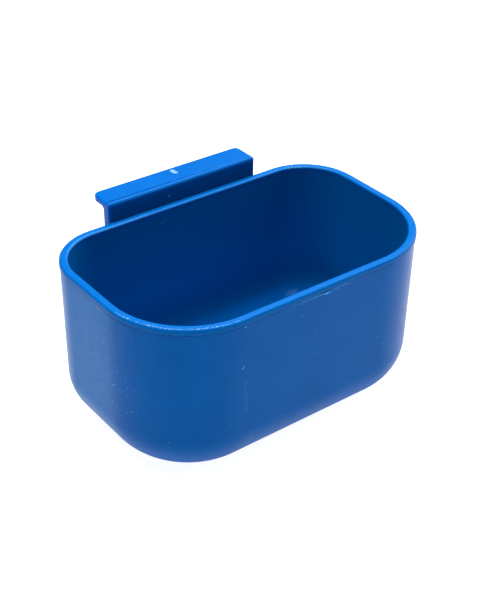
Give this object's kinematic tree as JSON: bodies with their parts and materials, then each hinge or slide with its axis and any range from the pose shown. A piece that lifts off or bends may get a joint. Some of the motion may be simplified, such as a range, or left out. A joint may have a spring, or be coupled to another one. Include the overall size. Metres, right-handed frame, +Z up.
{
  "type": "feed bucket",
  "caption": "Small open rounded-rectangular feed tub with a hanger plate and backward flange along its back, to hook over a rail or board.",
  "frame": {"origin": "centre of the tub's rim outline, on the surface that the flat base rests on", "axes": "+Z up; +X along the tub's length, from left to right seen from the front; +Y to the back, where the hanger is"},
  "size_m": [0.14, 0.0994, 0.08],
  "materials": {
    "tub_plastic": "satin, mid blue, moulded",
    "hanger_plastic": "satin, mid blue, moulded"
  },
  "bodies": {
    "root": {"tub": "tub_plastic", "hanger": "hanger_plastic"}
  },
  "joints": []
}
